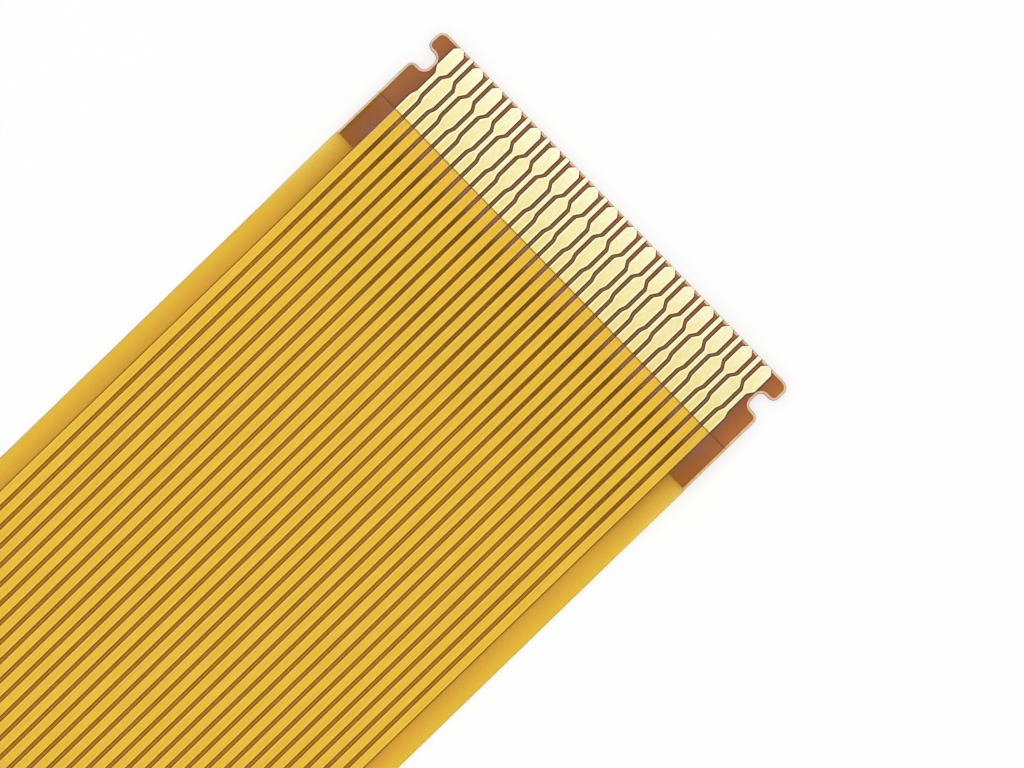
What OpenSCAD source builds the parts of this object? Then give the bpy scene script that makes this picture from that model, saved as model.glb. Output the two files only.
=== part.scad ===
// Flat flexible printed cable with staggered gold contacts at both ends.
// The cable lies along Y with its contacts facing up. The origin is at the
// middle of the surface it lies on. The stiffened ends stand on that surface
// and the thin film between them drapes down onto it.

/* [Cable] */
// Length from one tip to the other
cable_l = 70; // [66:1:150]
// Extra width of the film behind the die-cut ends, on each side
body_step = 0.02; // [0.01:0.01:0.1]
// Length over which the film comes down behind each stiffener
drape_run = 3; // [2.5:0.5:8]

/* [Conductors] */
// Number of conductors side by side
conductor_count = 33; // [5:1:45]
// Distance between the centres of neighbouring conductors
pitch = 0.3; // [0.3:0.05:0.5]
// Bare space between neighbouring conductors
conductor_gap = 0.09; // [0.06:0.01:0.12]
// Width of the narrow neck that passes between two pads
neck_w = 0.11; // [0.08:0.01:0.14]

/* [Contact end] */
// Length of conductor left bare at each end
contact_l = 1.94; // [1.8:0.02:2.6]
// Length over which a front pad widens at the tip
tip_shoulder_l = 0.13; // [0.08:0.01:0.2]
// Distance from the tip to the end of the front pads
front_pad_l = 0.63; // [0.5:0.01:0.7]
// Length of the slope between the two rows of pads
row_shoulder_l = 0.15; // [0.1:0.01:0.2]
// Length of the pads in the rear row
rear_pad_l = 0.56; // [0.4:0.01:0.6]
// Length of the slope from the rear row to the plain conductors
trace_shoulder_l = 0.14; // [0.1:0.01:0.2]
// Length of the stiffener under each end
stiffener_l = 3.2; // [3:0.1:6]

/* [Lock notches] */
// Distance from the tip to a notch
notch_start = 0.5; // [0.45:0.01:0.7]
// Width of a notch along the cable
notch_w = 0.44; // [0.36:0.01:0.6]
// Depth of a notch from the side edge
notch_depth = 0.39; // [0.32:0.01:0.6]
// Film left between a notch and the outermost pad
notch_web = 0.085; // [0.06:0.005:0.3]
// Radius inside a notch
notch_r = 0.15; // [0.08:0.01:0.17]
// Radius of the corners between a notch and the side edge
ear_r = 0.16; // [0.08:0.01:0.2]
// Radius of the corners at the tip
tip_r = 0.19; // [0.08:0.01:0.22]

/* [Layers] */
// Thickness of the stiffener film
stiffener_t = 0.125; // [0.1:0.005:0.3]
// Thickness of the bond between stiffener and base film
bond_t = 0.03; // [0.02:0.005:0.05]
// Thickness of the base film
base_t = 0.025; // [0.0125:0.0125:0.05]
// Thickness of the copper conductors
copper_t = 0.018; // [0.012:0.001:0.036]
// Thickness of the nickel and gold plating on the bare contacts
plating_t = 0.004; // [0.002:0.001:0.006]
// Thickness of adhesive above the conductors
glue_cover_t = 0.015; // [0.01:0.001:0.03]
// Thickness of the coverlay film
coverlay_t = 0.025; // [0.0125:0.0125:0.05]

/* [Hidden] */
$fn = 48;

// Widths that follow from the pitch and the gaps
trace_w = pitch - conductor_gap;
pad_w = 2 * trace_w - neck_w;
row_w = (conductor_count - 1) * pitch;
end_w = row_w + pad_w + 2 * (notch_web + notch_depth);
body_w = end_w + 2 * body_step;
tip_y = cable_l / 2;

// Distances from the tip to the steps of the contact outline
front_pad_end = front_pad_l;
rear_pad_start = front_pad_end + row_shoulder_l;
rear_pad_end = rear_pad_start + rear_pad_l;
trace_start = rear_pad_end + trace_shoulder_l;

// Height of the base film above the surface, at the stiffened ends
deck_z = stiffener_t + bond_t;
// Heights above the underside of the base film
copper_z = base_t;
copper_top = copper_z + copper_t;
glue_top = copper_top + glue_cover_t;
coverlay_top = glue_top + coverlay_t;

// The film comes down in two equal and opposite arcs
drape_angle = 2 * atan(deck_z / drape_run);
drape_r = drape_run / (2 * sin(drape_angle));
drape_steps = 4;
drape_top_y = tip_y - stiffener_l;
drape_foot_y = drape_top_y - drape_run;

// Cutters reach past the faces that they cut by this much
spare = 1;

// Centre of a conductor across the cable
function conductor_x(k) = (k - (conductor_count + 1) / 2) * pitch;

// Stations along the underside of the base film over the front half, each
// with its place along the cable, its height and its slope
function half_run(end_y) = concat(
    [[end_y, deck_z, 0]],
    [for (i = [0 : drape_steps])
        let (a = drape_angle * i / drape_steps)
        [drape_top_y - drape_r * sin(a), deck_z - drape_r * (1 - cos(a)), a]],
    [for (i = [drape_steps - 1 : -1 : 0])
        let (a = drape_angle * i / drape_steps)
        [drape_foot_y + drape_r * sin(a), drape_r * (1 - cos(a)), a]]
);

function reversed(list) = [for (i = [len(list) - 1 : -1 : 0]) list[i]];

function whole_run(end_y) = concat(
    half_run(end_y),
    [for (s = reversed(half_run(end_y))) [-s[0], s[1], -s[2]]]
);

// Point at height t above the underside of the base film at a station
function above(s, t) = [s[0] - t * sin(s[2]), s[1] + t * cos(s[2])];

// Layer of the laminate between two heights, draped like the base film
module layer(width, end_y, low, high) {
    run = whole_run(end_y);
    rotate([90, 0, 90])
        linear_extrude(height = width, center = true)
            polygon(concat(
                [for (s = run) above(s, high)],
                [for (s = reversed(run)) above(s, low)]
            ));
}

// Half widths of a conductor at distances from the tip. The pads of the odd
// conductors are in the front row and those of the even ones in the rear row.
function half_outline(front, length) = front
    ? [
        [0, neck_w / 2],
        [tip_shoulder_l, pad_w / 2],
        [front_pad_end, pad_w / 2],
        [rear_pad_start, neck_w / 2],
        [rear_pad_end, neck_w / 2],
        [trace_start, trace_w / 2],
        [length, trace_w / 2]
    ]
    : [
        [0, neck_w / 2],
        [front_pad_end, neck_w / 2],
        [rear_pad_start, pad_w / 2],
        [rear_pad_end, pad_w / 2],
        [trace_start, trace_w / 2],
        [length, trace_w / 2]
    ];

// Contact outline of conductor k, widened by skin on both sides
module contact_outline(k, length, skin) {
    side = half_outline(k % 2 == 1, length);
    translate([conductor_x(k), tip_y])
        polygon(concat(
            [for (p = side) [p[1] + skin, -p[0]]],
            [for (p = reversed(side)) [-p[1] - skin, -p[0]]]
        ));
}

// Contact outline extruded between two heights above the base film's underside
module contact_plate(k, length, skin, low, high) {
    translate([0, 0, deck_z + low])
        linear_extrude(height = high - low)
            contact_outline(k, length, skin);
}

// Draws its children at the front end and again, mirrored, at the rear end
module both_ends() {
    children();
    mirror([0, 1, 0]) children();
}

// Quarter of a square left outside a circle, to round an outer corner whose
// point is at the origin and whose material lies towards -X and -Y
module corner_cut(r) {
    difference() {
        translate([-r, -r, -spare]) cube([r + spare, r + spare, 2 * spare]);
        translate([-r, -r, -2 * spare]) cylinder(r = r, h = 4 * spare);
    }
}

// Slot of a lock notch, open towards +X, with its inner corners rounded
module notch_cut() {
    x_in = end_w / 2 - notch_depth;
    y_low = tip_y - notch_start - notch_w;
    translate([x_in + notch_r, y_low, -spare])
        cube([notch_depth + spare, notch_w, 2 * spare]);
    translate([x_in, y_low + notch_r, -spare])
        cube([notch_depth, notch_w - 2 * notch_r, 2 * spare]);
    for (y = [y_low + notch_r, y_low + notch_w - notch_r])
        translate([x_in + notch_r, y, -spare]) cylinder(r = notch_r, h = 2 * spare);
}

// Strip beside a die-cut end, where it is narrower than the film behind it
module side_trim() {
    trim_x = end_w / 2;
    back_y = tip_y - stiffener_l;
    translate([0, 0, -spare])
        linear_extrude(height = 2 * spare)
            polygon([
                [trim_x, tip_y + spare],
                [trim_x, back_y],
                [trim_x + body_step, back_y - body_step],
                [trim_x + body_step + spare, back_y - body_step],
                [trim_x + body_step + spare, tip_y + spare]
            ]);
}

// All that the die takes away at one end, on both sides
module die_cut() {
    for (side = [0, 1])
        mirror([side, 0, 0]) {
            side_trim();
            notch_cut();
            translate([end_w / 2, tip_y, 0]) corner_cut(tip_r);
            translate([end_w / 2, tip_y - notch_start, 0]) mirror([0, 1, 0]) corner_cut(ear_r);
            translate([end_w / 2, tip_y - notch_start - notch_w, 0]) corner_cut(ear_r);
        }
}

// Flat sheet under the front end, with the outline that the die leaves
module end_sheet(low, high) {
    difference() {
        translate([-end_w / 2, tip_y - stiffener_l, low])
            cube([end_w, stiffener_l, high - low]);
        die_cut();
    }
}

module base_film() {
    color("goldenrod")
        difference() {
            layer(body_w, tip_y, 0, base_t);
            both_ends() die_cut();
        }
}

// Adhesive that fills the spaces between the conductors and covers them. The
// grooves are cut from below its underside, so that they open cleanly.
module coverlay_adhesive() {
    end_y = tip_y - contact_l;
    color("darkgoldenrod")
        difference() {
            layer(body_w, end_y, copper_z, glue_top);
            both_ends() side_trim();
            both_ends() mirror([1, 0, 0]) side_trim();
            for (k = [1 : conductor_count])
                translate([conductor_x(k), 0, 0])
                    layer(trace_w, end_y + spare, 0, copper_top);
        }
}

module coverlay_film() {
    color("orange")
        difference() {
            layer(body_w, tip_y - contact_l, glue_top, coverlay_top);
            both_ends() side_trim();
            both_ends() mirror([1, 0, 0]) side_trim();
        }
}

module stiffener_front() {
    color("saddlebrown") end_sheet(0, stiffener_t);
}

module stiffener_bond_front() {
    color("peru") end_sheet(stiffener_t, deck_z);
}

// Thin cap over the top and sides of every bare contact at the front end
module contact_plating_front() {
    color("khaki")
        for (k = [1 : conductor_count])
            difference() {
                contact_plate(k, contact_l, plating_t, copper_z, copper_top + plating_t);
                contact_plate(k, contact_l, 0, copper_z, copper_top);
            }
}

module stiffener_rear() {
    mirror([0, 1, 0]) stiffener_front();
}

module stiffener_bond_rear() {
    mirror([0, 1, 0]) stiffener_bond_front();
}

module contact_plating_rear() {
    mirror([0, 1, 0]) contact_plating_front();
}

// Plain strip over the whole run with a shaped contact at each end. Contact and
// strip share the stretch between the last pads and the coverlay.
module conductor(k) {
    color("gold")
        union() {
            translate([conductor_x(k), 0, 0])
                layer(trace_w, tip_y - trace_start, copper_z, copper_top);
            both_ends() contact_plate(k, contact_l, 0, copper_z, copper_top);
        }
}

base_film();
coverlay_adhesive();
coverlay_film();
stiffener_front();
stiffener_bond_front();
contact_plating_front();
stiffener_rear();
stiffener_bond_rear();
contact_plating_rear();
for (k = [1 : conductor_count])
    conductor(k);
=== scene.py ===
"""Looks of a flat flexible printed cable with staggered gold contacts.

The cable lies along Y on a pale floor, contacts up. Its laminate is built up
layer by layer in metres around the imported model: stiffeners and their bond,
base film, etched conductors, plated contacts, adhesive and coverlay.
"""
import math

import bpy
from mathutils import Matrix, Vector


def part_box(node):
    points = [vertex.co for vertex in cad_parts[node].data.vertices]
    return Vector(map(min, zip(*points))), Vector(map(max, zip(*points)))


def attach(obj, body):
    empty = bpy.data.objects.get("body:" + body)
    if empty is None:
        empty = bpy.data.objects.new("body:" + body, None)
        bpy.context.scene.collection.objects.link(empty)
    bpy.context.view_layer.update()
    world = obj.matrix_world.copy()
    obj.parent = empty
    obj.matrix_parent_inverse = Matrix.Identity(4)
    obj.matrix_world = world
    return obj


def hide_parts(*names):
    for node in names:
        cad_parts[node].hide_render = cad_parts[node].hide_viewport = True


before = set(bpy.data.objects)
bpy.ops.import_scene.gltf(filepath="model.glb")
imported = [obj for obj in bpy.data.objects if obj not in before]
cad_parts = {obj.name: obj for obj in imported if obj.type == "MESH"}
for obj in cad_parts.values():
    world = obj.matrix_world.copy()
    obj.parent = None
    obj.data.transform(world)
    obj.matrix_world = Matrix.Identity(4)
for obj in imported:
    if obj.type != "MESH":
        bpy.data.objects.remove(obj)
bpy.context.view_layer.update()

MM = 1e-3
UM = 1e-6

# ---------------------------------------------------------------- the frame's own sizes

BODY_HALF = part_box("base_film")[1].x
TIP_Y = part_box("base_film")[1].y
END_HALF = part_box("stiffener_front")[1].x
STIFFENER_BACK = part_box("stiffener_front")[0].y
STIFFENER_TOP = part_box("stiffener_front")[1].z
DECK_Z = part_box("stiffener_bond_front")[1].z
COVER_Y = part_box("coverlay_film")[1].y
CONDUCTORS = sum(name.startswith("conductor_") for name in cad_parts)

# Heights above the underside of the base film
COPPER_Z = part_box("coverlay_adhesive")[0].z
COPPER_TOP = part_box("conductor_1")[1].z - DECK_Z
PLATED_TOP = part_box("contact_plating_front")[1].z - DECK_Z
GLUE_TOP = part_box("coverlay_adhesive")[1].z - DECK_Z
FILM_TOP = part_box("coverlay_film")[1].z - DECK_Z

# ---------------------------------------------------------------- contact outline and die cut

# Widths of the conductors and their pads
PAD_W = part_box("conductor_1")[1].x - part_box("conductor_1")[0].x
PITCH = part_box("conductor_2")[1].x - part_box("conductor_1")[1].x
TRACE_W = 0.21 * MM
NECK_W = 0.11 * MM
# Distances from the tip at which a conductor changes width
TIP_SHOULDER_END = 0.13 * MM
FRONT_PAD_END = 0.63 * MM
REAR_PAD_START = 0.78 * MM
REAR_PAD_END = 1.34 * MM
TRACE_START = 1.48 * MM
# Reach of a rounded corner, and the most of a straight stretch that it takes up
CORNER_SOFTNESS = 0.025 * MM
CORNER_SHARE = 0.45

# Section of an etched conductor: its side leans out to a thin foot, and its top edge is round
CONDUCTOR_LEAN = 4 * UM
CONDUCTOR_RIM = 5 * UM
FOOT_W = 18 * UM
FOOT_T = 2 * UM
FOOT_EDGE = 1 * UM
# Band inside the top edge, which carries a painted highlight, and how far the top rises across it
RIM_W = 24 * UM
RIM_FALL = 0.6 * UM
# Plating beside the copper, and the contacts' distance from the film's tip
PLATE_SIDE = 4 * UM
TIP_INSET = 14 * UM

# Notch in each side of the die-cut end, from the tip backwards, and the ears round it
NOTCH_START = 0.5 * MM
NOTCH_W = 0.44 * MM
NOTCH_DEPTH = 0.39 * MM
NOTCH_R = 0.15 * MM
EAR_R = 0.16 * MM
TIP_R = 0.19 * MM
ARC_STEPS = 8

# The film bends down to the floor over this run behind the stiffener
DRAPE_RUN = 3 * MM
DRAPE_STEPS = 10
DRAPE_ANGLE = 2 * math.atan(DECK_Z / DRAPE_RUN)
DRAPE_R = DRAPE_RUN / (2 * math.sin(DRAPE_ANGLE))
DRAPE_FOOT = STIFFENER_BACK - DRAPE_RUN

BODY_STEP = BODY_HALF - END_HALF
# The film's cut edge stands this far inside the solid's, behind the die-cut ends
BODY_INSET = 14 * UM
# Width of the rounded rim on die-cut edges, which carries a painted highlight, and the share of it that
# the tip itself shows
END_RIM = 60 * UM
TIP_RIM_SHARE = 0.9

# Layers stay this far apart, so that no two faces lie in each other
SEAM = 1 * UM
# Points this close to a line count as on it
NEAR = 1 * UM


# ---------------------------------------------------------------- laying layers on the run

def slope_and_height(y):
    """Slope and height of the base film's underside at a place along the cable."""
    out = abs(y)
    if out >= STIFFENER_BACK:
        return 0.0, DECK_Z
    if out <= DRAPE_FOOT:
        return 0.0, 0.0
    if out >= STIFFENER_BACK - DRAPE_RUN / 2:
        slope = math.asin((STIFFENER_BACK - out) / DRAPE_R)
        return slope, DECK_Z - DRAPE_R * (1 - math.cos(slope))
    slope = math.asin((out - DRAPE_FOOT) / DRAPE_R)
    return slope, DRAPE_R * (1 - math.cos(slope))


def laid(x, y, height):
    """Point at a height above the base film's underside, with the film draped."""
    slope, z = slope_and_height(y)
    lean = math.copysign(height * math.sin(slope), y)
    return (x, y - lean, z + height * math.cos(slope))


def drape_stations():
    """Places along the cable, front half, where the film bends."""
    step = DRAPE_RUN / (2 * DRAPE_STEPS)
    return [STIFFENER_BACK - step * i for i in range(2 * DRAPE_STEPS + 1)]


def whole_run(end_y):
    """Places along the whole cable, rear to front."""
    front = [end_y, *drape_stations()]
    return [-y for y in front] + front[::-1]


# ---------------------------------------------------------------- meshes

# Edges that turn by more degrees than this stay sharp
SHARP_ANGLE = 35


def mesh_piece(name, points, faces, materials, slots=None):
    """Object from points and faces; slots gives each face's material."""
    mesh = bpy.data.meshes.new(name)
    mesh.from_pydata(points, [], faces)
    for material in materials:
        mesh.materials.append(material)
    if slots:
        mesh.polygons.foreach_set("material_index", slots)
    mesh.polygons.foreach_set("use_smooth", [True] * len(faces))
    mesh.set_sharp_from_angle(angle=math.radians(SHARP_ANGLE))
    mesh.validate()
    piece = bpy.data.objects.new(name, mesh)
    bpy.context.scene.collection.objects.link(piece)
    return piece


def arc(cx, cy, r, start, end):
    """Points of an arc between two angles in degrees."""
    turn = [math.radians(start + (end - start) * i / ARC_STEPS) for i in range(ARC_STEPS + 1)]
    return [(cx + r * math.cos(a), cy + r * math.sin(a)) for a in turn]


def die_cut_side():
    """Right edge of the front end, from the stiffener's back edge to the tip."""
    notch_high = TIP_Y - NOTCH_START
    notch_low = notch_high - NOTCH_W
    inner = END_HALF - NOTCH_DEPTH + NOTCH_R
    outer = END_HALF - EAR_R
    return (
        [(END_HALF, STIFFENER_BACK)]
        + arc(outer, notch_low - EAR_R, EAR_R, 0, 90)
        + arc(inner, notch_low + NOTCH_R, NOTCH_R, 270, 180)
        + arc(inner, notch_high - NOTCH_R, NOTCH_R, 180, 90)
        + arc(outer, notch_high + EAR_R, EAR_R, -90, 0)
        + arc(END_HALF - TIP_R, TIP_Y - TIP_R, TIP_R, 0, 90)
    )


def inset_ring(ring, insets):
    """Closed counter-clockwise ring moved inwards, by its own amount at each point."""
    moved = []
    for i, (x, y) in enumerate(ring):
        here, before, after = Vector((x, y)), Vector(ring[i - 1]), Vector(ring[(i + 1) % len(ring)])
        back, ahead = (here - before).normalized(), (after - here).normalized()
        bisector = (back + ahead).normalized()
        stretch = 1 / max(0.5, bisector.dot(ahead))
        inward = Vector((-bisector.y, bisector.x)) * stretch
        moved.append((x + inward.x * insets[i], y + inward.y * insets[i]))
    return moved


def ring_walls(count, rings, rows):
    """Quads between stacked rings of count points, with a slot for each row of walls."""
    faces, slots = [], []
    for level in range(rings - 1):
        low, high = level * count, (level + 1) * count
        for i in range(count):
            j = (i + 1) % count
            faces.append((low + i, low + j, high + j, high + i))
            slots.append(rows[level])
    return faces, slots


def sheet_faces(count, side, first, base):
    """Faces over a ring whose first half is the right edge and second its mirror image.
    The edge points before first and after its mirror are the two die-cut ends."""
    def mirror(i):
        return count - 1 - i

    last = side - 1 - first
    strips = [(i, i + 1, mirror(i + 1), mirror(i)) for i in range(first, last)]
    rear = [*range(first + 1), *(mirror(i) for i in range(first, -1, -1))]
    front = [*range(last, side), *(mirror(i) for i in range(side - 1, last - 1, -1))]
    return [tuple(base + i for i in face) for face in (rear, *strips, front)]


def plate(name, rings, heights, wall_slots, place, materials, side=None, first=None, flip=False):
    """Slab through closed rings at rising heights, with a material slot for each row of walls.
    Side and first are those of sheet_faces, for a slab that bends; flip mirrors it to the rear."""
    count = len(rings[0])
    points = [place(x, y, height) for ring, height in zip(rings, heights) for x, y in ring]
    faces, slots = ring_walls(count, len(rings), wall_slots)
    smooth = [True] * len(faces)
    top = (len(rings) - 1) * count
    if side is None:
        covers = [(tuple(range(top, top + count)), tuple(range(count)))]
    else:
        covers = zip(sheet_faces(count, side, first, top), sheet_faces(count, side, first, 0))
    for upper, lower in covers:
        faces += [upper, lower[::-1]]
        slots += [0, 0]
        smooth += [False, False]
    if flip:
        points = [(x, -y, z) for x, y, z in points]
        faces = [face[::-1] for face in faces]
    piece = mesh_piece(name, points, faces, materials, slots)
    piece.data.polygons.foreach_set("use_smooth", smooth)
    return piece


def closed_ring(side):
    """Right edge, rear to front, and its mirror image, front to rear."""
    return side + [(-x, y) for x, y in reversed(side)]


def swept(stations, sections, base=0, edge_slots=None):
    """Closed solid through sections, each a loop of (x, height), at places along the cable.
    The slots are those of the section's edges, and base is how many points the mesh has."""
    count = len(sections[0])
    points = [laid(x, y, h) for y, section in zip(stations, sections) for x, h in section]
    faces, slots = [], []
    for level in range(len(stations) - 1):
        here, there = base + level * count, base + (level + 1) * count
        for i in range(count):
            j = (i + 1) % count
            faces.append((here + i, there + i, there + j, here + j))
            slots.append(edge_slots[i] if edge_slots else 0)
    end = base + (len(stations) - 1) * count
    faces.append(tuple(range(base, base + count)))
    faces.append(tuple(range(end + count - 1, end - 1, -1)))
    return points, faces, slots + [0, 0]


# ---------------------------------------------------------------- node graphs

class Graph:
    """Small helper that builds one material's nodes."""

    def __init__(self, name):
        self.material = bpy.data.materials.new(name)
        self.material.use_nodes = True
        self.nodes = self.material.node_tree.nodes
        self.links = self.material.node_tree.links
        self.nodes.clear()
        self.output = self.nodes.new("ShaderNodeOutputMaterial")
        self.place = self.nodes.new("ShaderNodeTexCoord").outputs["Object"]

    def put(self, socket, value):
        """Links a socket to a socket, or sets it to a number or colour."""
        if isinstance(value, bpy.types.NodeSocket):
            self.links.new(value, socket)
        else:
            socket.default_value = (*value, 1) if isinstance(value, tuple) and len(value) == 3 else value

    def axis(self, index):
        """Coordinate of the shaded point: 0 across the cable, 1 along it."""
        parts = self.nodes.new("ShaderNodeSeparateXYZ")
        self.links.new(self.place, parts.inputs[0])
        return parts.outputs[index]

    def maths(self, operation, a, b=0.0):
        """Result of a Math node."""
        node = self.nodes.new("ShaderNodeMath")
        node.operation = operation
        self.put(node.inputs[0], a)
        self.put(node.inputs[1], b)
        return node.outputs[0]

    def ease(self, value, low, high, start=0.0, end=1.0):
        """Smooth step of a value from start to end between low and high."""
        node = self.nodes.new("ShaderNodeMapRange")
        node.interpolation_type = "SMOOTHSTEP"
        for socket, number in zip(node.inputs[1:5], (low, high, start, end)):
            socket.default_value = number
        self.put(node.inputs[0], value)
        return node.outputs[0]

    def noise(self, size, detail, stretch=(1, 1, 1)):
        """Noise with spots of about that size, in metres."""
        mapping = self.nodes.new("ShaderNodeMapping")
        self.links.new(self.place, mapping.inputs["Vector"])
        mapping.inputs["Scale"].default_value = [s / size for s in stretch]
        node = self.nodes.new("ShaderNodeTexNoise")
        node.inputs["Scale"].default_value = 1.0
        node.inputs["Detail"].default_value = detail
        self.links.new(mapping.outputs[0], node.inputs["Vector"])
        return node.outputs["Fac"]

    def blend(self, factor, a, b):
        """Colour between a and b."""
        node = self.nodes.new("ShaderNodeMix")
        node.data_type = "RGBA"
        self.put(node.inputs[0], factor)
        self.put(node.inputs[6], a)
        self.put(node.inputs[7], b)
        return node.outputs[2]

    def bump(self, height, depth):
        """Normal of a surface whose relief is that deep, in metres."""
        node = self.nodes.new("ShaderNodeBump")
        node.inputs["Distance"].default_value = depth
        self.links.new(height, node.inputs["Height"])
        return node.outputs[0]

    def surface(self, **sockets):
        """Principled shader; its sockets' names have _ for spaces."""
        node = self.nodes.new("ShaderNodeBsdfPrincipled")
        for name, value in sockets.items():
            self.put(node.inputs[name.replace("_", " ")], value)
        return node.outputs[0]

    def clear(self, tint):
        """Shader that lets light through and tints it."""
        node = self.nodes.new("ShaderNodeBsdfTransparent")
        self.put(node.inputs[0], tint)
        return node.outputs[0]

    def mix(self, factor, a, b):
        """Shader between a and b."""
        node = self.nodes.new("ShaderNodeMixShader")
        self.put(node.inputs[0], factor)
        self.put(node.inputs[1], a)
        self.put(node.inputs[2], b)
        return node.outputs[0]

    def finish(self, shader):
        """The material, once its shader is linked to the output."""
        self.links.new(shader, self.output.inputs["Surface"])
        return self.material


def from_edge(graph):
    """How far a point lies from the cable's middle line."""
    return graph.maths("ABSOLUTE", graph.axis(0))


def from_middle(graph):
    """How far a point lies from the middle of the cable's length."""
    return graph.maths("ABSOLUTE", graph.axis(1))


# ---------------------------------------------------------------- materials

AMBER = (0.78, 0.45, 0.045)
# Share of cloudy plastic in the clear films, and what the painted sheen adds to it
FILM_HAZE = 0.078
PAINTED_SHEEN_HAZE = 0.11
# Distances from the cable's middle line: end of the gaps, of the last conductor, start of margin
GAPS_END = 4.78 * MM
LAST_COPPER = 4.86 * MM
MARGIN_START = 4.90 * MM
# Distances from the middle of the length: the coverlay's end line, and where the painted sheen is full
COVER_LINE = (33.04 * MM, 33.07 * MM)
PAINTED_SHEEN_FULL = 32.9 * MM


def film_surface(g, tint, haze_colour, haze, shine=0.25):
    """Clear film: tinted see-through, with a little cloudy, glossy plastic where light enters."""
    cloud = g.noise(500 * UM, 1.0, (1, 0.6, 1))
    body = g.surface(
        Base_Color=g.blend(g.ease(cloud, 0.3, 0.7, 0.0, 0.07), haze_colour, (0.2, 0.1, 0.01)),
        Roughness=g.ease(cloud, 0.3, 0.7, shine, shine + 0.12),
        Normal=g.bump(g.noise(60 * UM, 0.0), 0.25 * UM),
    )
    outside = g.maths("SUBTRACT", 1.0, g.nodes.new("ShaderNodeNewGeometry").outputs["Backfacing"])
    return g.finish(g.mix(g.maths("MULTIPLY", outside, haze), g.clear(tint), body))


def base_film_material():
    """Amber film, deepest between the conductors as painted shade, and palest along the cable's
    edges and where it lifts behind the stiffener as painted light.
    """
    g = Graph("base_film_amber")
    out = from_edge(g)
    # Paler towards the cable's edges: painted light
    margin = g.blend(g.ease(out, MARGIN_START, BODY_HALF), (0.955, 0.87, 0.81), (0.998, 0.972, 0.80))
    # Between the conductors: deeper, as painted shade, and paler where the film lifts behind the
    # stiffener, as painted light
    draped = g.ease(from_middle(g), 29.8 * MM, 31.7 * MM)
    between = g.blend(draped, (0.915, 0.76, 0.69), (0.985, 0.785, 0.69))
    tint = g.blend(g.ease(out, GAPS_END, MARGIN_START), between, margin)
    return film_surface(g, tint, AMBER, FILM_HAZE)


def coverlay_material():
    """Amber film with a painted sheen, a dull mauve reflection, behind each contact end where no copper
    backs it.
    """
    g = Graph("coverlay_amber")
    out = from_edge(g)
    along = from_middle(g)
    patch = g.ease(g.noise(450 * UM, 1.0), 0.3, 0.7, 0.5, 1.0)
    off_copper = g.maths("PINGPONG", out, PITCH / 2)
    off_copper = g.ease(off_copper, TRACE_W / 2, TRACE_W / 2 + FOOT_W)
    between = g.maths("MULTIPLY", off_copper, g.ease(along, 32.3 * MM, PAINTED_SHEEN_FULL))
    beside = g.maths("GREATER_THAN", out, LAST_COPPER)
    for share in (
        g.ease(out, MARGIN_START, 5.42 * MM, 1.0, 0.35),
        g.ease(along, 31.5 * MM, PAINTED_SHEEN_FULL, 0.35, 1.0),
        g.maths("GREATER_THAN", along, STIFFENER_BACK),
    ):
        beside = g.maths("MULTIPLY", beside, share)
    # Painted sheen: mauve haze between the conductors and beside the last one, fading backwards
    painted_sheen = g.maths("MULTIPLY", g.maths("MAXIMUM", between, beside), patch)
    haze_colour = g.blend(painted_sheen, AMBER, (0.52, 0.37, 0.55))
    haze = g.maths("ADD", g.maths("MULTIPLY", painted_sheen, PAINTED_SHEEN_HAZE), FILM_HAZE)
    return film_surface(g, (0.982, 0.940, 0.70), haze_colour, haze)


def cut_film_material(name, tint, colour, cover):
    """Side of the clear film, drawn darker and less clear than its face."""
    g = Graph(name)
    grain = g.noise(20 * UM, 2.0)
    body = g.surface(
        Base_Color=g.blend(g.ease(grain, 0.3, 0.7), colour, tuple(0.8 * c for c in colour)),
        Roughness=0.45,
        Normal=g.bump(grain, 2 * UM),
    )
    return g.finish(g.mix(cover, g.clear(tint), body))


def painted_highlight_rim_material():
    """Edge where the die rolls the film over, coloured cream as a painted highlight in place of the
    light it catches.
    """
    g = Graph("painted_highlight_rim")
    patch = g.noise(120 * UM, 3.0)
    grain = g.noise(14 * UM, 2.0)
    colour = g.blend(g.ease(patch, 0.3, 0.7), (0.80, 0.62, 0.42), (0.70, 0.46, 0.25))
    return g.finish(g.surface(Base_Color=colour, Roughness=0.55, Normal=g.bump(grain, 1.5 * UM)))


def brown_film_material(name, warm, dull):
    """Brown stiffener film: slightly mottled satin plastic."""
    g = Graph(name)
    cloud = g.noise(350 * UM, 2.0)
    grain = g.noise(28 * UM, 1.0)
    colour = g.blend(g.ease(cloud, 0.3, 0.7), warm, dull)
    colour = g.blend(g.ease(grain, 0.2, 0.8, 0.0, 0.35), colour, tuple(0.7 * c for c in dull))
    return g.finish(g.surface(Base_Color=colour, Roughness=0.4, Normal=g.bump(grain, 1.2 * UM)))


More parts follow.
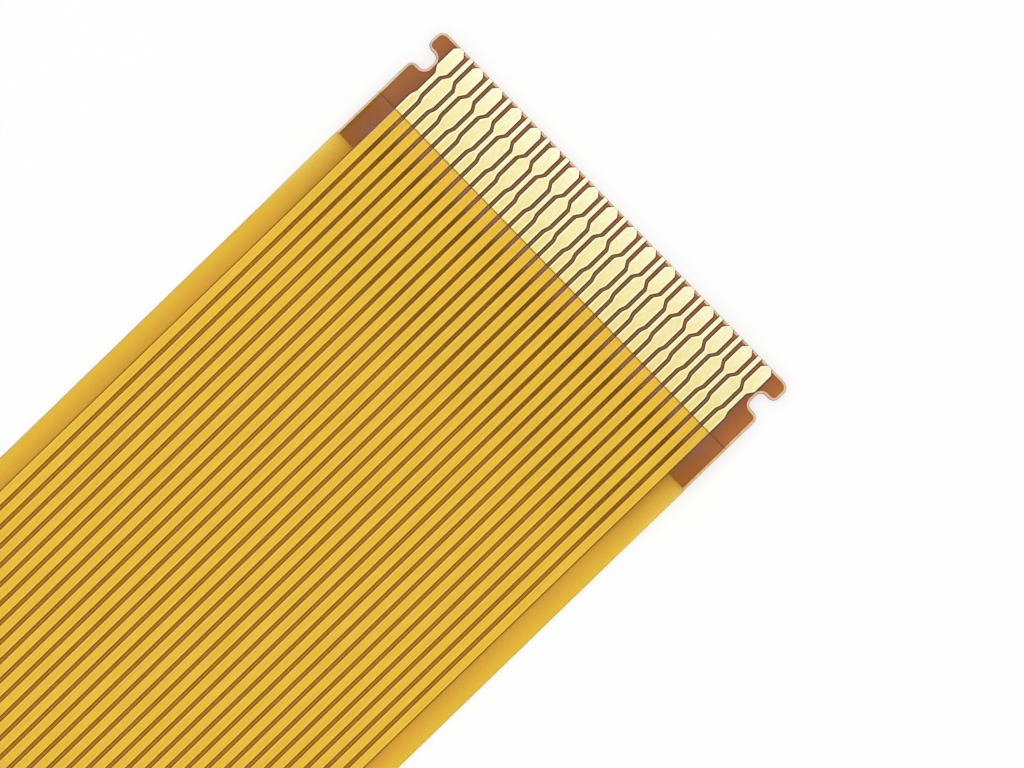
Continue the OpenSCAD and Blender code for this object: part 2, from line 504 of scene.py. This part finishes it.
def bond_material():
    """Bond seen through the base film: reddish at the tip, olive-brown between the bare
    contacts, then mauve, maroon and brown from the coverlay's end backwards. The mauve is a painted
    sheen."""
    g = Graph("bond_brown")
    along = from_middle(g)
    cloud = g.noise(300 * UM, 2.0)
    grain = g.noise(30 * UM, 1.0)
    wander = g.maths("ADD", along, g.ease(cloud, 0.3, 0.7, -0.12 * MM, 0.12 * MM))

    def along_cable(back, maroon, mauve, bare, tip):
        colour = g.blend(g.ease(wander, 31.8 * MM, 32.2 * MM), back, maroon)
        # The mauve just behind the coverlay's end is a painted sheen
        colour = g.blend(g.ease(wander, 32.45 * MM, PAINTED_SHEEN_FULL), colour, mauve)
        colour = g.blend(g.ease(along, *COVER_LINE), colour, bare)
        return g.blend(g.ease(along, 34.1 * MM, 34.7 * MM), colour, tip)

    between = along_cable(
        back=(0.42, 0.18, 0.05),
        maroon=(0.13, 0.025, 0.03),
        mauve=(0.50, 0.36, 0.30),
        bare=(0.45, 0.42, 0.16),
        tip=(0.60, 0.36, 0.12),
    )
    margin = along_cable(
        back=(0.34, 0.08, 0.05),
        maroon=(0.30, 0.07, 0.07),
        mauve=(0.34, 0.12, 0.16),
        bare=(0.37, 0.125, 0.085),
        tip=(0.41, 0.135, 0.085),
    )
    colour = g.blend(g.ease(from_edge(g), GAPS_END, LAST_COPPER), between, margin)
    outer_right = g.ease(g.axis(0), MARGIN_START, 5.4 * MM, 0.0, 0.5)
    colour = g.blend(outer_right, colour, (0.60, 0.16, 0.06))
    colour = g.blend(g.ease(grain, 0.2, 0.8, 0.0, 0.25), colour, (0.22, 0.09, 0.05))
    return g.finish(g.surface(Base_Color=colour, Roughness=0.45, Normal=g.bump(grain, 1.2 * UM)))


def gold_material(name, tip, pads, traces, roughness):
    """Soft gold plating, finely mottled and satin. Painted light makes it palest at the tip and
    yellowest on the bare traces, and painted shade makes it duller towards the right side.
    """
    g = Graph(name)
    along = from_middle(g)
    mottle = g.noise(90 * UM, 2.0)
    streak = g.noise(26 * UM, 1.0, (1, 0.18, 1))
    # Palest at the tip, yellowest on the traces: painted light
    colour = g.blend(g.ease(along, 33.3 * MM, 34.0 * MM), traces, pads)
    colour = g.blend(g.ease(along, 34.2 * MM, 34.9 * MM), colour, tip)
    # Duller towards the right side: painted shade
    side = g.ease(g.axis(0), -5 * MM, 5 * MM, 0.0, 0.10)
    dull = g.maths("ADD", side, g.ease(mottle, 0.3, 0.7, 0.0, 0.10))
    dull = g.maths("ADD", dull, g.ease(streak, 0.35, 0.75, 0.0, 0.10))
    colour = g.blend(dull, colour, (0.72, 0.52, 0.06))
    return g.finish(g.surface(
        Base_Color=colour,
        Metallic=1.0,
        Roughness=g.ease(streak, 0.25, 0.75, roughness, roughness + 0.15),
        Normal=g.bump(streak, 0.8 * UM),
    ))


def painted_foot_shade_material():
    """Dark line along the foot and side wall of a conductor: painted shade beside the copper."""
    g = Graph("painted_foot_shade")
    grain = g.noise(15 * UM, 1.0)
    along = from_middle(g)
    colour = g.blend(g.ease(along, 31.7 * MM, 31.9 * MM), (0.24, 0.06, 0.005), (0.10, 0.018, 0.002))
    colour = g.blend(g.ease(along, *COVER_LINE), colour, (0.05, 0.030, 0.002))
    colour = g.blend(g.ease(grain, 0.3, 0.7, 0.0, 0.4), colour, (0.05, 0.02, 0.004))
    return g.finish(g.surface(Base_Color=colour, Roughness=0.5, Normal=g.bump(grain, 0.8 * UM)))


def copper_material(name, bright, deep):
    """Rolled copper that shows golden through the amber film, with faint streaks along it."""
    g = Graph(name)
    streak = g.noise(30 * UM, 1.0, (1, 0.04, 1))
    grain = g.noise(40 * UM, 1.0)
    colour = g.blend(g.ease(streak, 0.3, 0.7), bright, deep)
    return g.finish(g.surface(
        Base_Color=colour,
        Metallic=1.0,
        Roughness=g.ease(grain, 0.3, 0.7, 0.38, 0.5),
        Normal=g.bump(streak, 0.6 * UM),
    ))


def floor_material():
    """White paper, lifted towards plain white where it shows beside the film."""
    g = Graph("floor")
    paper = g.noise(2 * MM, 2.0)
    colour = g.blend(g.ease(paper, 0.2, 0.8), FLOOR_WHITE, tuple(0.998 * c for c in FLOOR_WHITE))
    lit = g.surface(Base_Color=colour, Roughness=1.0, Specular_IOR_Level=0.0)
    glow = g.nodes.new("ShaderNodeEmission")
    glow.inputs["Strength"].default_value = 1.0
    path = g.nodes.new("ShaderNodeLightPath")
    seen = g.maths("ADD", path.outputs["Is Camera Ray"], path.outputs["Is Glossy Ray"])
    seen = g.maths("ADD", seen, path.outputs["Is Transmission Ray"])
    under_x = g.maths("LESS_THAN", from_edge(g), BODY_HALF - BODY_INSET)
    under_y = g.maths("LESS_THAN", from_middle(g), STIFFENER_BACK)
    beside = g.maths("SUBTRACT", 1.0, g.maths("MULTIPLY", under_x, under_y))
    share = g.maths("MULTIPLY", g.maths("MULTIPLY", seen, beside), FLOOR_LIFT)
    return g.finish(g.mix(share, lit, glow.outputs[0]))


# ---------------------------------------------------------------- camera, floor and light

# The camera looks straight down on the front end: where it stands, how far it is turned in
# degrees, and how much of the floor it sees from side to side
VIEW_X = 1.162 * MM
VIEW_FROM_TIP = 4.288 * MM
VIEW_TURN = 45.91
VIEW_WIDTH = 22.29 * MM
LENS = 200
SENSOR = 36
VIEW_HEIGHT = VIEW_WIDTH * LENS / SENSOR

FLOOR_WHITE = (1.0, 1.0, 1.0)
# Share of plain white in the floor beside the film, as the camera and reflections see it
FLOOR_LIFT = 0.65
FLOOR_HALF = 0.6
FLOOR_GAP = 4 * UM
# Strength of the world's light; the camera itself sees plain white
SKY = 0.86
# Enough for all faces of clear film that light passes on its way to the floor and up again
CLEAR_FACES = 24


def make_camera():
    """Camera above the front end, at the photograph's angle."""
    data = bpy.data.cameras.new("camera")
    data.lens = LENS
    data.sensor_width = SENSOR
    data.clip_start = 1 * MM
    data.clip_end = 5
    camera = bpy.data.objects.new("camera", data)
    camera.location = (VIEW_X, TIP_Y - VIEW_FROM_TIP, VIEW_HEIGHT)
    camera.rotation_euler = (0, 0, math.radians(VIEW_TURN))
    bpy.context.scene.collection.objects.link(camera)
    bpy.context.scene.camera = camera


def soft_light(name, place, aim, size, power):
    """Round area light that points at aim, in metres and watts."""
    data = bpy.data.lights.new(name, "AREA")
    data.shape = "DISK"
    data.size = size
    data.energy = power
    light = bpy.data.objects.new(name, data)
    light.location = place
    light.rotation_euler = (Vector(aim) - Vector(place)).to_track_quat("-Z", "Y").to_euler()
    light.visible_camera = False
    bpy.context.scene.collection.objects.link(light)


def make_studio():
    """White floor, pale world and two soft lights."""
    bpy.context.scene.view_settings.view_transform = "Standard"
    bpy.context.scene.cycles.transparent_max_bounces = CLEAR_FACES
    signs = ((-1, -1), (1, -1), (1, 1), (-1, 1))
    corners = [(sx * FLOOR_HALF, sy * FLOOR_HALF, -FLOOR_GAP) for sx, sy in signs]
    floor = mesh_piece("floor", corners, [(0, 1, 2, 3)], [floor_material()])
    world = bpy.data.worlds.new("studio")
    world.use_nodes = True
    bpy.context.scene.world = world
    nodes, links = world.node_tree.nodes, world.node_tree.links
    background = nodes["Background"]
    background.inputs["Color"].default_value = (1, 1, 1, 1)
    path = nodes.new("ShaderNodeLightPath")
    level = nodes.new("ShaderNodeMapRange")
    level.inputs["To Min"].default_value = SKY
    level.inputs["To Max"].default_value = 1.0
    links.new(path.outputs["Is Camera Ray"], level.inputs["Value"])
    links.new(level.outputs[0], background.inputs["Strength"])
    soft_light("overhead", place=(-0.03, 0.04, 0.30), aim=(0, 0.01, 0), size=0.34, power=0.075)
    soft_light("key", place=(-0.16, 0.12, 0.20), aim=(0, 0.02, 0), size=0.14, power=0.06)


# ---------------------------------------------------------------- the laminate's pieces

def body_side():
    """Right edge of the film behind the die-cut ends, rear to front."""
    front = [(BODY_HALF, STIFFENER_BACK - BODY_STEP)] + [(BODY_HALF, y) for y in drape_stations()[1:]]
    return [(x, -y) for x, y in front] + front[::-1]


def in_body(y):
    """Whether an edge point is behind the die-cut ends."""
    return abs(y) < STIFFENER_BACK - NEAR


def rim_insets(ring, at_end, behind):
    """Inset of each edge point: full on die-cut sides, a little less at the tip itself."""
    insets = []
    for _, y in ring:
        if in_body(y):
            insets.append(BODY_INSET + behind)
        elif abs(y) > TIP_Y - NEAR:
            insets.append(TIP_RIM_SHARE * at_end)
        else:
            insets.append(at_end)
    return insets


def set_wall_slots(piece, slot_of_wall):
    """Gives each wall face, drawn with slot 1 at first, the slot that its centre asks for."""
    for face in piece.data.polygons:
        if face.material_index == 1:
            face.material_index = slot_of_wall(face.center)


def add_piece(piece, node):
    """Puts a piece in the place of its CAD node."""
    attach(piece, "root")
    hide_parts(node)


def make_base_film():
    """Film with both die-cut ends; it is the cable itself."""
    cut = die_cut_side()
    side = [(x, -y) for x, y in reversed(cut)] + body_side() + cut
    ring = closed_ring(side)
    # Height, inset of the die-cut edge, inset of the edge behind it
    rows = [
        (SEAM, 16 * UM, 0),
        (COPPER_Z * 0.45, 17 * UM, 0),
        (COPPER_Z * 0.75, 24 * UM, 1 * UM),
        (COPPER_Z * 0.92, 38 * UM, 2 * UM),
        (COPPER_Z, END_RIM, 4 * UM),
    ]
    piece = plate(
        "base_film_sheet",
        [inset_ring(ring, rim_insets(ring, at_end, behind)) for _, at_end, behind in rows],
        [row[0] for row in rows],
        [1] * len(rows),
        laid,
        [BASE_FILM, PAINTED_HIGHLIGHT_RIM, FILM_SIDE],
        len(side),
        len(cut) - 1,
    )
    # Die-cut walls take the painted highlight, the walls behind the ends the film's side
    set_wall_slots(piece, lambda c: 2 if abs(c.y) < STIFFENER_BACK - BODY_STEP / 2 else 1)
    add_piece(piece, "base_film")


def cover_side():
    """Right edge of the coverlay, rear to front."""
    front = [(END_HALF, COVER_Y), (END_HALF, STIFFENER_BACK)]
    return [(x, -y) for x, y in front] + body_side() + front[::-1]


def cover_ring(ring, at_end, behind, set_back):
    """Coverlay outline with its sides moved in and its two end lines moved back."""
    moved = []
    for x, y in ring:
        inset = BODY_INSET + behind if in_body(y) else at_end
        back = set_back if abs(y) > COVER_Y - NEAR else 0
        moved.append((x - math.copysign(inset, x), y - math.copysign(back, y)))
    return moved


def make_coverlay():
    """Cover film, from the contacts of one end to those of the other."""
    side = cover_side()
    ring = closed_ring(side)
    # Height, inset of the die-cut edge, inset of the edge behind it, set-back of the end line
    rows = [
        (GLUE_TOP + SEAM, 18 * UM, 1 * UM, -22 * UM),
        (GLUE_TOP + 9 * UM, 19 * UM, 2 * UM, -16 * UM),
        (FILM_TOP - 9 * UM, 25 * UM, 5 * UM, -9 * UM),
        (FILM_TOP - 3 * UM, 36 * UM, 10 * UM, 0),
        (FILM_TOP, 50 * UM, 17 * UM, 12 * UM),
    ]
    piece = plate(
        "coverlay_sheet",
        [cover_ring(ring, *row[1:]) for row in rows],
        [row[0] for row in rows],
        [1] * len(rows),
        laid,
        [COVER_FILM, PAINTED_HIGHLIGHT_RIM, FILM_SIDE, FILM_LINE],
        len(side),
        1,
    )

    # Walls: dark line at the coverlay's end, film's side behind the ends, painted highlight on die-cut
    # sides
    def wall_slot(centre):
        if abs(centre.y) > COVER_Y - END_RIM and abs(centre.x) < END_HALF - END_RIM:
            return 3
        return 2 if in_body(centre.y) else 1

    set_wall_slots(piece, wall_slot)
    add_piece(piece, "coverlay_film")


# Room of the adhesive's grooves round a conductor, its reach past the coverlay's end line,
# and its inset at the cable's sides
GROOVE_ROOM = 1.5 * UM
GLUE_SQUEEZE = 14 * UM
GLUE_INSET = 2 * UM


def conductor_x(k):
    """Middle of conductor k across the cable, from the frame."""
    low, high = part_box(f"conductor_{k}")
    return (low.x + high.x) / 2


def groove(x):
    """Underside of the adhesive over a conductor, right to left."""
    low, high = COPPER_Z + SEAM, COPPER_TOP + SEAM
    foot = TRACE_W / 2 + FOOT_W + GROOVE_ROOM
    wall = TRACE_W / 2 + CONDUCTOR_LEAN + GROOVE_ROOM
    head = TRACE_W / 2 + GROOVE_ROOM
    right = [(foot, low), (foot - GROOVE_ROOM, low + FOOT_T), (wall, low + FOOT_T), (head, high)]
    return [(x + dx, h) for dx, h in right] + [(x - dx, h) for dx, h in reversed(right)]


def make_adhesive():
    """Clear adhesive under the coverlay, with a groove for each conductor."""
    stations = whole_run(COVER_Y + GLUE_SQUEEZE)
    xs = [conductor_x(k) for k in range(CONDUCTORS, 0, -1)]
    sections = []
    for y in stations:
        half = (BODY_HALF - BODY_INSET if in_body(y) else END_HALF) - GLUE_INSET
        section = [point for x in xs for point in groove(x)]
        section += [(-half, COPPER_Z + SEAM), (-half, GLUE_TOP - SEAM), (half, GLUE_TOP - SEAM)]
        section += [(half, COPPER_Z + SEAM)]
        sections.append(section[::-1])
    points, faces, _ = swept(stations, sections)
    piece = mesh_piece("adhesive_layer", points, faces, [ADHESIVE])
    piece.data.polygons.foreach_set("use_smooth", [False] * len(faces))
    add_piece(piece, "coverlay_adhesive")


def soft_profile(corners, softness, steps=4):
    """Polyline with every inner corner rounded, as a list of points."""
    smooth = [corners[0]]
    for before, corner, after in zip(corners, corners[1:], corners[2:]):
        b, c, a = Vector(before), Vector(corner), Vector(after)
        start = c + (b - c).normalized() * min(softness, (b - c).length * CORNER_SHARE)
        end = c + (a - c).normalized() * min(softness, (a - c).length * CORNER_SHARE)
        for i in range(steps + 1):
            t = i / steps
            smooth.append(tuple(start.lerp(c, t).lerp(c.lerp(end, t), t)))
    return smooth + [corners[-1]]


def contact_profile(k, length):
    """Half widths of conductor k at distances from the tip. Odd ones have their pad in front."""
    neck, pad, trace = NECK_W / 2, PAD_W / 2, TRACE_W / 2
    if k % 2:
        corners = [(0, neck), (TIP_SHOULDER_END, pad), (FRONT_PAD_END, pad), (REAR_PAD_START, neck)]
        corners += [(REAR_PAD_END, neck), (TRACE_START, trace), (length, trace)]
    else:
        corners = [(0, neck), (FRONT_PAD_END, neck), (REAR_PAD_START, pad), (REAR_PAD_END, pad)]
        corners += [(TRACE_START, trace), (length, trace)]
    return soft_profile(corners, CORNER_SOFTNESS)


# Material slots of the faces round a conductor: foot and side wall with painted shade, rim with a
# painted highlight, plain top
TOP_SLOT, HIGHLIGHT_SLOT, FOOT_SHADE_SLOT = 0, 1, 2
EDGE_SLOTS = [FOOT_SHADE_SLOT] * 3 + [HIGHLIGHT_SLOT] * 4
SKIN_SLOTS = EDGE_SLOTS + [TOP_SLOT] + EDGE_SLOTS[::-1]


def etched_edge(half, height, rim):
    """Section of an etched conductor over its base, right foot to left foot."""
    turn = [math.radians(a) for a in (0, 30, 60, 90)]
    centre = half - CONDUCTOR_LEAN - rim
    right = [(half + FOOT_W, 0), (half + FOOT_W - FOOT_EDGE, FOOT_T / 2)]
    right += [(half + CONDUCTOR_LEAN, FOOT_T)]
    right += [(centre + rim * math.cos(a), height - rim + rim * math.sin(a)) for a in turn]
    right += [(centre - RIM_W, height - RIM_FALL)]
    return right + [(-x, h) for x, h in reversed(right)]


def shifted(section, across, up):
    """Section moved to its conductor's place."""
    return [(x + across, h + up) for x, h in section]


def make_conductor(k):
    """Etched copper of conductor k, from tip to tip."""
    contact = contact_profile(k, TIP_Y - COVER_Y)
    front = [(TIP_Y - TIP_INSET - PLATE_SIDE if d == 0 else TIP_Y - d, half) for d, half in contact]
    front += [(y, TRACE_W / 2) for y in drape_stations()]
    run = [(-y, half) for y, half in front] + front[::-1]
    thickness = COPPER_TOP - COPPER_Z
    outlines = [etched_edge(half, thickness, CONDUCTOR_RIM) for _, half in run]
    sections = [shifted(outline, conductor_x(k), COPPER_Z + SEAM / 2) for outline in outlines]
    edge_slots = SKIN_SLOTS + [FOOT_SHADE_SLOT]
    points, faces, slots = swept([y for y, _ in run], sections, edge_slots=edge_slots)
    piece = mesh_piece(f"copper_line_{k}", points, faces, [COPPER, COPPER_PAINTED_HIGHLIGHT, PAINTED_FOOT_SHADE], slots)
    add_piece(piece, f"conductor_{k}")


def plated_section(half):
    """Cap over the copper: outer skin, then the inner one back again."""
    outer = etched_edge(half + PLATE_SIDE, PLATED_TOP - COPPER_Z, 2 * CONDUCTOR_RIM)
    inner = etched_edge(half + SEAM, COPPER_TOP - COPPER_Z + SEAM, CONDUCTOR_RIM)
    return outer + inner[::-1]


def make_plating(end, flip):
    """Gold caps over all conductors of one end."""
    points, faces, slots = [], [], []
    edge_slots = (SKIN_SLOTS + [FOOT_SHADE_SLOT]) * 2
    for k in range(1, CONDUCTORS + 1):
        profile = contact_profile(k, TIP_Y - COVER_Y)[::-1]
        run = [(TIP_Y - TIP_INSET if d == 0 else TIP_Y - d, half) for d, half in profile]
        caps = [plated_section(half) for _, half in run]
        sections = [shifted(cap, conductor_x(k), COPPER_Z + SEAM / 2) for cap in caps]
        more = swept([y for y, _ in run], sections, len(points), edge_slots)
        points += more[0]
        faces += more[1]
        slots += more[2]
    if flip:
        points = [(x, -y, z) for x, y, z in points]
        faces = [face[::-1] for face in faces]
    piece = mesh_piece(f"plated_contacts_{end}", points, faces, [GOLD, GOLD_PAINTED_HIGHLIGHT, PAINTED_FOOT_SHADE], slots)
    add_piece(piece, f"contact_plating_{end}")


def upright(x, y, height):
    """Point that isn't draped: the stiffeners stay flat."""
    return (x, y, height)


def make_stiffener(end, flip):
    """Stiffener and the bond on it, at one end."""
    ring = closed_ring(die_cut_side())
    # Height and inset of the edge
    stiffener = [
        (0, 5 * UM),
        (6 * UM, 0),
        (STIFFENER_TOP * 0.8, 9 * UM),
        (STIFFENER_TOP - 4 * UM, 12 * UM),
        (STIFFENER_TOP - SEAM, 16 * UM),
    ]
    bond = [
        (STIFFENER_TOP, 17 * UM),
        (STIFFENER_TOP + 5 * UM, 15 * UM),
        (DECK_Z - 5 * UM, 15 * UM),
        (DECK_Z, 17 * UM),
    ]
    for name, rows, material, node in (
        ("stiffener_sheet", stiffener, STIFFENER, "stiffener"),
        ("bond_layer", bond, BOND, "stiffener_bond"),
    ):
        piece = plate(
            f"{name}_{end}",
            [inset_ring(ring, [inset] * len(ring)) for _, inset in rows],
            [height for height, _ in rows],
            [0] * len(rows),
            upright,
            [material],
            flip=flip,
        )
        add_piece(piece, f"{node}_{end}")


# ---------------------------------------------------------------- the scene

make_camera()
# Cream painted highlight for the die-cut edges
PAINTED_HIGHLIGHT_RIM = painted_highlight_rim_material()
FILM_SIDE = cut_film_material("film_side", (0.88, 0.80, 0.62), (0.42, 0.30, 0.06), 0.3)
FILM_LINE = cut_film_material("coverlay_line", (0.88, 0.80, 0.68), (0.13, 0.06, 0.006), 0.38)
BASE_FILM = base_film_material()
COVER_FILM = coverlay_material()
ADHESIVE = film_surface(Graph("clear_adhesive"), (0.992, 0.975, 0.85), AMBER, 0.04, 0.4)
STIFFENER = brown_film_material("stiffener_brown", (0.36, 0.15, 0.075), (0.28, 0.11, 0.055))
BOND = bond_material()
GOLD = gold_material("gold_plating", (0.92, 0.91, 0.64), (0.88, 0.82, 0.46), (0.83, 0.73, 0.31), 0.32)
# Whiter copy of the gold on the rounded edges and their band: a painted highlight
GOLD_PAINTED_HIGHLIGHT = gold_material("gold_painted_highlight", (0.98, 0.97, 0.80), (0.98, 0.96, 0.72), (0.98, 0.94, 0.64), 0.25)
COPPER = copper_material("etched_copper", (0.95, 0.80, 0.46), (0.89, 0.73, 0.39))
# Paler copy of the copper on its rounded top edges: a painted highlight
COPPER_PAINTED_HIGHLIGHT = copper_material("copper_painted_highlight", (1.0, 0.90, 0.66), (1.0, 0.87, 0.60))
# Painted shade along the conductors' feet and side walls
PAINTED_FOOT_SHADE = painted_foot_shade_material()

make_base_film()
make_coverlay()
make_adhesive()
for number in range(1, CONDUCTORS + 1):
    make_conductor(number)
for end_name, mirrored in (("front", False), ("rear", True)):
    make_plating(end_name, mirrored)
    make_stiffener(end_name, mirrored)
make_studio()
